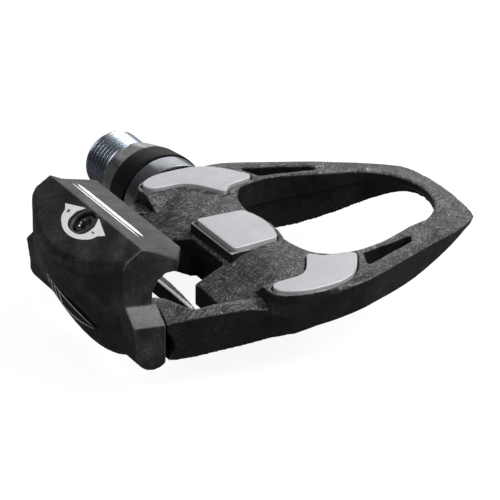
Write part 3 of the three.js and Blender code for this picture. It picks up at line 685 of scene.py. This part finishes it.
def spindle():
    octagon = flat_side(FLANGE["apothem"], 8, TAU / 16)
    hexagon = flat_side(SOCKET_APOTHEM, 6)
    tip = THREAD["tip"]
    shaft = [
        (0, -12), (2.4, -12), (2.9, -11.5), (2.9, -4.1), (3.1, -3.9), (3.6, -3.5), (3.6, 25.2),
        (3.55, 25.3), (3.55, 28.7), (3.6, 28.8), (3.6, 32.4), (4.9, 33.8), (5.0, 34.2), (5.0, 47.2),
    ]
    flange = [
        (chamfered(octagon, FLANGE["radius"] - 0.55), FLANGE["inner"]),
        (chamfered(octagon, FLANGE["radius"] - 0.15), FLANGE["inner"] + 0.25),
        (chamfered(octagon, FLANGE["radius"]), FLANGE["inner"] + 0.55),
        (chamfered(octagon, FLANGE["radius"]), FLANGE["shoulder"] - 0.65),
        (chamfered(octagon, FLANGE["radius"] - 0.2), FLANGE["shoulder"] - 0.25),
        (chamfered(octagon, FLANGE["radius"] - 0.6), FLANGE["shoulder"]),
        (FLANGE["relief"], FLANGE["shoulder"]), (FLANGE["relief"], FLANGE["shoulder"] - 0.4),
        (THREAD["root"] + 0.15, FLANGE["shoulder"] - 0.4), (THREAD["root"], FLANGE["shoulder"] - 0.25),
        (THREAD["root"], THREAD["start"]),
    ]

    def limit(y):
        run_in = THREAD["root"] + (y - THREAD["start"])
        run_out = THREAD["minor"] + (tip - y)
        return min(THREAD["major"], run_in, run_out)

    socket = [
        (THREAD["minor"], tip), (5.0, tip), (4.85, tip - 0.05),
        (chamfered(hexagon, 4.66), tip - 0.5), (hexagon, tip - 0.7),
        (hexagon, FLANGE["shoulder"] + 0.1), (3.6, FLANGE["shoulder"] - 0.2), (0, FLANGE["shoulder"] - 1.4),
    ]
    shell = Shell()
    last_shaft = len(shaft) - 1
    shell.lathe(AXLE, shaft + flange, 192, lambda i: 0 if i < last_shaft else 1)
    add_thread(shell, AXLE, THREAD["pitch"], THREAD["minor"], THREAD["start"], tip, limit, 192, 2)
    shell.lathe(AXLE, socket, 192, 3)
    piece = shell.object("spindle_forging", [SHAFT_STEEL, FLANGE_STEEL, THREAD_STEEL, THREAD_STEEL], 28)
    even_thread(piece, 2)
    fit(piece, "spindle", "axle_steel", "spindle")


def cone_and_nut():
    shell = Shell()
    race = [(4.0 + 1.1 * (1 - math.cos(a)), -4.4 - 0.9 * math.sin(a)) for a in (0.0, 0.4, 0.8, 1.2, 1.5)]
    profile = [(3.2, -6.68), (3.32, -6.8), (5.08, -6.8), (5.2, -6.68), (5.2, -5.3)]
    profile += race[::-1] + [(3.2, -4.4)]
    shell.lathe(AXLE, profile + profile[:1], 72)
    fit(shell.object("cone_ring", [BEARING_STEEL]), "spindle", "bearing_steel", "cone")

    hexagon = flat_side(4.7, 6)
    nut = Shell()
    outer = [
        (3.3, -10.2), (chamfered(hexagon, 4.75), -10.2), (chamfered(hexagon, 5.1), -10.0),
        (hexagon, -9.75), (hexagon, -7.65), (chamfered(hexagon, 5.1), -7.4),
        (chamfered(hexagon, 4.75), -7.2), (3.3, -7.2),
    ]
    nut.lathe(AXLE, outer + outer[:1], 96)
    fit(nut.object("cone_nut", [BLACK_STEEL], 25), "spindle", "black_steel", "cone_lock_nut")


def sleeve_and_collar():
    shell = Shell()
    shell.ring(AXLE, [
        (5.6, 39.5), (10.25, 39.5), (10.2, 41),
        (10.0, 43), (9.7, 46), (8.9, 46.9), (7.9, 46.9), (7.9, 43.4), (5.6, 43.4),
    ], 0.14, 128)
    fit(shell.object("collar_ring", [COLLAR_BLACK]), "pedal_body", "matte_black", "lock_collar")

    seal = Shell()
    seal.ring(AXLE, [
        (5.3, 43.7), (7.6, 43.7), (7.6, 44.4), (7.45, 44.6), (7.6, 44.8), (7.6, 46.5), (7.0, 46.5),
        (6.6, 46.1), (6.0, 46.1), (5.6, 46.5), (5.3, 46.5), (5.3, 46.0), (5.55, 45.6), (5.3, 45.2),
    ], 0.12, 96)
    fit(seal.object("seal_ring", [SEAL_RUBBER]), "pedal_body", "seal_rubber", "dust_seal")

    tube = Shell()
    tube.ring(AXLE, [
        (6.2, -13), (7.0, -13), (7.0, 10.0), (6.8, 10.2), (6.8, 11.4), (7.0, 11.6), (7.0, 33.6),
        (10.0, 33.6), (10.0, 38.9), (9.85, 39.2), (6.2, 39.2),
    ], 0.12, 128)
    fit(tube.object("sleeve_tube", [SLEEVE_BLACK]), "pedal_body", "gloss_black", "axle_sleeve")


def around():
    return [TAU * i / ROW["count"] for i in range(ROW["count"])]


def ball_row(name, node, y):
    shell = Shell()
    for angle in around():
        shell.ball(AXLE.point(ROW["pitch"], angle, y), ROW["ball"], 20)
    pitch = ROW["pitch"]
    for low, high in ((y - 0.75, y - 0.45), (y + 0.45, y + 0.75)):
        shell.ring(AXLE, [(pitch - 0.45, low), (pitch + 0.45, low), (pitch + 0.45, high),
                          (pitch - 0.45, high)], 0.08, 72)
    for angle in around():
        middle = AXLE.point(pitch, angle + TAU / 20, 0)
        bar = Axis(middle, AXLE.along, AXLE.u)
        shell.rod(bar, 0.3, y - 0.6, y + 0.6, 0.06, 12)
    fit(shell.object(name, [BEARING_STEEL]), "pedal_body", "bearing_steel", node)


def needle_row():
    shell = Shell()
    pitch = ROW["pitch"]
    low, high = NEEDLES
    for start in (low, high - 1):
        shell.ring(AXLE, [(pitch - 0.6, start), (pitch + 0.6, start), (pitch + 0.6, start + 1),
                          (pitch - 0.6, start + 1)], 0.15, 72)
    for angle in around():
        bar = Axis(AXLE.point(pitch, angle, 0), AXLE.along, AXLE.u)
        shell.rod(bar, ROW["ball"] - 0.1, low + 0.5, high - 0.5, 0.25, 20)
    for angle in around():
        bar = Axis(AXLE.point(pitch + 0.1, angle + TAU / 20, 0), AXLE.along, AXLE.u)
        shell.rod(bar, 0.35, low + 0.5, high - 0.5, 0.1, 12)
    fit(shell.object("needle_cage", [BEARING_STEEL]), "pedal_body", "bearing_steel", "needle_bearing")


# ---------------------------------------------------------------- carbon body and plates

def top_outline(node):
    """The upper edge of a CAD plate, in order round it, as (x, y) in metres."""
    work = bmesh.new()
    work.from_mesh(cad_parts[node].data)
    bmesh.ops.remove_doubles(work, verts=work.verts, dist=1e-6)
    top = max(v.co.z for v in work.verts)
    cap = {f for f in work.faces if all(v.co.z > top - 1e-5 for v in f.verts)}
    beside = {}
    for edge in work.edges:
        if sum(f in cap for f in edge.link_faces) == 1:
            a, b = edge.verts
            beside.setdefault(a, []).append(b)
            beside.setdefault(b, []).append(a)
    start = min(beside, key=lambda v: (v.co.x, v.co.y))
    ring, seen, here = [], set(), start
    while here is not None:
        ring.append((here.co.x, here.co.y))
        seen.add(here)
        here = next((v for v in beside[here] if v not in seen), None)
    work.free()
    return ring


def wear_plate(name, node, studs, stud_low):
    outline = rounded(top_outline(node), 0.75 * MM, 5)
    top = PLATE_TOP * MM
    low = top - PLATE_THICKNESS * MM
    rim = 0.2 * MM
    levels = [(0.15 * MM, low), (0.0, low + 0.15 * MM)]
    for i in range(7):
        angle = TAU / 4 * i / 6
        levels.append((rim - rim * math.cos(angle), top - rim + rim * math.sin(angle)))
    shell = Shell()
    shell.capped([[Vector((x, y, z)) for x, y in inset(outline, distance)] for distance, z in levels])
    for x, y in studs:
        post = Axis(at(x, y, 0), Vector((0, 0, 1)), Vector((1, 0, 0)))
        shell.rod(post, 1.1, stud_low, PLATE_TOP - PLATE_THICKNESS + 0.3, 0.2, 32)
    fit(shell.object(name, [PLATE], 20), "pedal_body", "blasted_steel", node)


def soft_underside(x, y, z, normal):
    """The rails' undersides are evened out; what stands or faces up keeps its edges."""
    return min(1.0, max(0.0, (-normal.z - 0.2) / 0.3))


def body():
    piece = rounded_copy("carbon_body", "body_moulding", 0.22, 9, [CARBON], soft_underside)
    fit(piece, "pedal_body", "carbon", "carbon_body")
    wear_plate("plate_centre", "wear_plate_centre", [(-7, 5), (-7, -5)], 6)
    wear_plate("plate_crank_side", "wear_plate_crank_side", [(-8.4, 28.6), (9.6, 23.6)], 4)
    wear_plate("plate_outer_side", "wear_plate_outer_side", [(-8.4, -28.6), (9.6, -23.6)], 4)

    low, high = (v / MM + CENTRE for v in (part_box("pivot_pin")[0].y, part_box("pivot_pin")[1].y))
    pin = Shell()
    pin.rod(PIVOT_AXIS, PIN_RADIUS, low, high, 0.25, 48)
    fit(pin.object("hinge_pin", [BLACK_STEEL]), "pedal_body", "black_steel", "pivot_pin")


# ---------------------------------------------------------------- rear claw

def facet_point(across, y, depth):
    return BOLT_AXIS.origin + (ACROSS * across + Vector((0, y, 0)) + INWARD * depth) * MM


def printed(shell, outline, place):
    """A thin closed film in the shape of an outline; place gives its top and underside."""
    shell.capped([[place(a, b, low) for a, b in outline] for low in FILM])


def turn_marks():
    """Two arrows round the bolt's hole, one way marked plus and the other minus."""
    outer = [(-0.6, 7.2), (-2.2, 6.2), (-3.75, 3.2), (-4.25, 0), (-3.75, -3.2), (-2.2, -6.2),
             (-0.6, -7.2)]
    inner = [(0.6, -4.1), (-1.4, -3.9), (-2.7, -2.6), (-3.2, 0), (-2.7, 2.6), (-1.4, 3.9), (0.6, 4.1)]
    outline = [(2.5, 2.8), (0.5, 8.9)] + flowing(outer) + [(0.5, -8.9), (2.5, -2.8)] + flowing(inner)

    def on_facet(a, b, low):
        return facet_point(a, b, FACET_DEPTH + low)

    shell = Shell()
    printed(shell, outline, on_facet)
    fit(shell.object("turn_arrows", [INK]), "rear_claw", "claw_plastic")

    def above(a, b, low):
        return facet_point(a, b, FACET_DEPTH + low - 0.03)

    def bar(u, y, half_u, half_y):
        return [(u + i * half_u, y + j * half_y) for i, j in ((-1, -1), (1, -1), (1, 1), (-1, 1))]

    signs = Shell()
    printed(signs, bar(-0.3, 6.1, 0.14, 0.5), above)
    printed(signs, bar(-0.3, 6.1, 0.5, 0.14), above)
    printed(signs, bar(-0.6, -5.3, 0.14, 0.5), above)
    fit(signs.object("turn_signs", [CLAW_BLACK]), "rear_claw", "claw_plastic")


def top_stripe():
    """A plain tapered line along the top of the claw."""
    slope = (21.6 - 19.0) / (37.0 - 27.1)
    across = Vector((1, 0, -slope)).normalized()
    normal = Vector((slope, 0, 1)).normalized()
    origin = at(-33.4, 0, 21.6 - slope * 3.6)

    def on_strip(a, b, low):
        return origin + (across * a + Vector((0, b, 0)) - normal * low) * MM

    shell = Shell()
    for middle, reach, width in ((0.35, 14.6, 0.5), (-0.75, 14.6, 0.18)):
        ends = [i / 16 for i in range(-16, 17)]
        upper = [(middle + width * (1 - e ** 8) + 0.02, 1.0 + reach * e) for e in ends]
        lower = [(middle - width * (1 - e ** 8) - 0.02, 1.0 + reach * e) for e in reversed(ends)]
        printed(shell, upper + lower, on_strip)
    fit(shell.object("top_stripe", [INK]), "rear_claw", "claw_plastic")


def below_facet(x, z):
    """Depth under the claw's sloping rear facet."""
    return (x - BOLT[0]) * INWARD.x + (z - BOLT[1]) * INWARD.z - FACET_DEPTH


def soft_chin(x, y, z, normal):
    """How far the claw's back and chin are smoothed: none on its top, ears and side walls."""
    side = 1.0 - min(1.0, max(0.0, (abs(y) - 17.0) / 2.5))
    behind = min(1.0, max(0.0, (-38.5 - x) / 1.5))
    return side * behind * min(1.0, max(0.0, below_facet(x, z) / 0.8))


def chin_groove(x, y, z):
    """A shallow hollow that follows the facet's lower edge round the back of the claw."""
    surface = -47.3 + 6.1 * (y / 20.5) ** 2
    if x > surface + 1.4:
        return 0.0
    side = 1.0 - min(1.0, max(0.0, (abs(y) - 15.5) / 4.0))
    return 1.0 * side * math.exp(-((below_facet(x, z) - 3.6) / 1.5) ** 2)


def chin_badge():
    """A slanted lens let into the chin: a raised metal rim and bars on a dark ground."""
    columns, rows = 120, 16
    cad = [(v.co.x / MM, v.co.y / MM + CENTRE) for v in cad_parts["tension_badge"].data.vertices]

    def outermost(y):
        return min(x for x, there in cad if abs(there - y) < 1.0)

    middle, far, near = outermost(0), outermost(8), outermost(-8)

    def surface(y):
        """The chin's x under the badge, as a curve through three places on the CAD badge."""
        return middle + (far - near) / 2 * (y / 8) + ((far + near) / 2 - middle) * (y / 8) ** 2

    def is_metal(y, t):
        """The rim along both edges, and slanted bars over the crank-side half."""
        bar = y > 0.3 and (y + 1.4 * t) % 1.9 < 0.75
        return t < 0.17 or t > 0.83 or bar

    def section(y):
        """A slice across the badge: its front from the top down, then its back inside the claw."""
        swell = 1 - (y / BADGE["half_length"]) ** 2
        top = BADGE["middle"] + BADGE["slope"] * y + BADGE["rise"] * swell
        height = BADGE["height"] * swell
        x = surface(y)
        front = [at(x + 0.1 * height * t - (0.15 if is_metal(y, t) else 0.0), y, top - height * t)
                 for t in (j / rows for j in range(rows + 1))]
        return front + [at(x + 0.6 + 0.95 * height, y, top - height), at(x + 0.6, y, top)]

    shell = Shell()
    places = [BADGE["reach"] * (2 * i / columns - 1) for i in range(columns + 1)]
    for y in places:
        shell.points.extend(section(y))
    size = rows + 3
    for i in range(columns):
        here, there = i * size, (i + 1) * size
        for j in range(size):
            k = (j + 1) % size
            metal = j < rows and is_metal(places[i], j / rows)
            shell.face([here + j, here + k, there + k, there + j], 1 if metal else 0)
    shell.face(range(size))
    shell.face(range(columns * size, (columns + 1) * size))
    badge = shell.object("chin_badge", [BADGE_BLACK, BADGE_METAL], 25)
    fit(badge, "rear_claw", "badge_metal", "tension_badge")


def claw():
    piece = rounded_copy("claw", "claw_moulding", 0.25, 4, [CLAW_BLACK], soft_chin, chin_groove)
    fit(piece, "rear_claw", "claw_plastic", "claw")
    chin_badge()
    turn_marks()
    top_stripe()


def bushes():
    for name, side in (("crank_side", 1), ("outer_side", -1)):
        ends = [side * 20.3, side * 23.0]
        shell = Shell()
        low, high = min(ends), max(ends)
        shell.ring(PIVOT_AXIS, [(1.9, low), (2.4, low), (2.4, high), (1.9, high)], 0.12, 64)
        piece = shell.object(f"bush_{name}", [BUSH_PLASTIC])
        fit(piece, "rear_claw", "bush_plastic", f"pivot_bush_{name}")


def springs():
    """Each spring is one wire: a leg hooked under the bolt, the coil, then a leg in the body."""
    hook = (BOLT[0] + 3.2 * INWARD.x - 1.5 * ACROSS.x, BOLT[1] + 3.2 * INWARD.z - 1.5 * ACROSS.z)
    mean, inner, outer = SPRING["mean"], SPRING["inner"], SPRING["outer"]
    for name, side in (("crank_side", 1), ("outer_side", -1)):
        upper = flowing([hook, (-40.9, 14.6), (-41.1, 12.6), (-40.6, 7), (-39.5, 2.4)], 8)
        line = [(x, inner, z) for x, z in upper]
        steps = round(SPRING["turns"] * 36)
        for i in range(1, steps + 1):
            angle = math.pi + TAU * SPRING["turns"] * i / steps
            y = inner + (outer - inner) * i / steps
            line.append((PIVOT[0] + mean * math.cos(angle), y, PIVOT[1] + mean * math.sin(angle)))
        end_z = line[-1][2]
        for i in range(1, 9):
            blend = i / 8
            line.append((PIVOT[0] + 8.3 * blend, outer, end_z + 0.35 * min(1.0, 2.8 * blend)))
        shell = Shell()
        shell.tube([at(x, side * y, z) for x, y, z in line], SPRING["wire"], 16)
        piece = shell.object(f"spring_{name}", [SPRING_STEEL], 60)
        fit(piece, "rear_claw", "spring_steel", f"torsion_spring_{name}")


def tension_screw():
    hexagon = flat_side(1.25, 6)
    head = [
        (0, 2.9), (1.0, 2.6), (hexagon, 2.6), (hexagon, 1.25), (1.5, 1.02), (2.0, 1.0), (2.2, 1.06),
        (2.34, 1.2), (2.4, 1.4), (2.4, 3.5), (2.3, 3.6),
    ]
    shell = Shell()
    shell.lathe(BOLT_AXIS, head + [(1.02, 3.6)], 72)
    add_thread(shell, BOLT_AXIS, 0.45, 1.02, 3.6, 7.5,
               lambda depth: min(1.25, 1.02 + (depth - 3.6), 1.02 + (7.5 - depth)), 72)
    shell.lathe(BOLT_AXIS, [(1.02, 7.5), (0, 7.5)], 72)
    fit(shell.object("tension_screw", [SCREW_STEEL], 28), "tension_bolt", "black_steel", "tension_bolt")
    nut = rounded_copy("tension_nut", "tension_block", 0.15, 3, [BLACK_STEEL])
    fit(nut, "tension_nut", "black_steel", "tension_nut")


# ---------------------------------------------------------------- floor, light and camera

def floor():
    """White paper, lit from within for the camera only so that it stays dim in reflections."""
    material = Finish("floor_paper", (0.16, 0.16, 0.16), 0.9, specular=0.0)
    paper = material.noise(3.0, 3.0)
    material.feed(material.tones(paper, (0.3, 0.155), (0.7, 0.165)), "Base Color")
    material.set("Emission Color", (1, 1, 1, 1))
    seen = material.node("ShaderNodeLightPath").outputs["Is Camera Ray"]
    material.feed(material.sums("MULTIPLY", seen, 0.92), "Emission Strength")
    shell = Shell()
    sides = 96
    level = CAD_BOX[0][2] - 0.0001
    rows = [[Vector((0, -CENTRE * MM, level))]]
    angles = [TAU * j / sides for j in range(sides)]
    for radius in (0.3, 0.8, 2.0):
        rows.append([Vector((radius * math.cos(a), radius * math.sin(a), level)) for a in angles])
    shell.skin(rows)
    disc = shell.object("floor", [material.material])


def lamp(name, direction, distance, size, power):
    """A soft rectangular light that faces the pedal."""
    light = bpy.data.lights.new(name, "AREA")
    light.shape = "RECTANGLE"
    light.size, light.size_y = size
    light.energy = power
    thing = bpy.data.objects.new(name, light)
    bpy.context.scene.collection.objects.link(thing)
    towards = Vector(direction).normalized()
    thing.location = at(0, 0, 5) + towards * distance
    thing.rotation_euler = towards.to_track_quat("Z", "Y").to_euler()


def lights():
    lamp("key", (0.6, -0.42, 0.72), 0.8, (0.5, 0.5), 6.8)
    lamp("back", (0.5, 0.78, 0.38), 0.9, (0.8, 0.6), 1.65)
    lamp("left", (-0.6, -0.35, 0.76), 0.8, (0.35, 0.5), 2.6)
    surroundings()


def surroundings():
    """A dim studio that brightens smoothly towards the nose's upper side."""
    dark, bright = (0.035, 0.035, 0.037, 1), (0.24, 0.245, 0.26, 1)
    world = bpy.data.worlds.new("studio")
    bpy.context.scene.world = world
    world.use_nodes = True
    tree = world.node_tree
    ground = tree.nodes["Background"]
    place = tree.nodes.new("ShaderNodeTexCoord")
    facing = tree.nodes.new("ShaderNodeVectorMath")
    facing.operation = "DOT_PRODUCT"
    facing.inputs[1].default_value = Vector((0.8, 0.3, 0.5)).normalized()
    ramp = tree.nodes.new("ShaderNodeValToRGB")
    for stop, position, colour in zip(ramp.color_ramp.elements, (0.45, 0.95), (dark, bright)):
        stop.position = position
        stop.color = colour
    half = tree.nodes.new("ShaderNodeMath")
    half.operation = "MULTIPLY_ADD"
    half.inputs[1].default_value = 0.5
    half.inputs[2].default_value = 0.5
    tree.links.new(place.outputs["Generated"], facing.inputs[0])
    tree.links.new(facing.outputs["Value"], half.inputs[0])
    tree.links.new(half.outputs[0], ramp.inputs["Fac"])
    tree.links.new(ramp.outputs["Color"], ground.inputs["Color"])
    ground.inputs["Strength"].default_value = 1.0


def camera():
    """A long lens at the photograph's angle; shifts are along the picture's sides."""
    azimuth, elevation, roll = (math.radians(v) for v in (-30.02, 26.06, 0.48))
    distance, shift_right, shift_up = 745.2, -0.12, 3.57
    back = Vector((math.sin(azimuth) * math.cos(elevation), -math.cos(azimuth) * math.cos(elevation),
                   math.sin(elevation)))
    level = Vector((math.cos(azimuth), math.sin(azimuth), 0))
    rise = back.cross(level)
    right = level * math.cos(roll) + rise * math.sin(roll)
    up = rise * math.cos(roll) - level * math.sin(roll)
    lens = bpy.data.cameras.new("camera")
    lens.lens = 252.18
    lens.sensor_width = 36
    lens.clip_end = 10
    thing = bpy.data.objects.new("camera", lens)
    bpy.context.scene.collection.objects.link(thing)
    turned = [[right[i], up[i], back[i]] for i in range(3)]
    place = at(0, 0, 0) + (right * shift_right + up * shift_up + back * distance) * MM
    thing.matrix_world = Matrix([[*turned[i], place[i]] for i in range(3)] + [[0, 0, 0, 1]])
    bpy.context.scene.camera = thing


spindle()
cone_and_nut()
sleeve_and_collar()
ball_row("ball_row_inboard", "inboard_ball_row", ROW["inboard"])
ball_row("ball_row_outboard", "outboard_ball_row", ROW["outboard"])
needle_row()
body()
claw()
bushes()
springs()
tension_screw()
floor()
lights()
camera()
bpy.context.scene.view_settings.view_transform = "Standard"
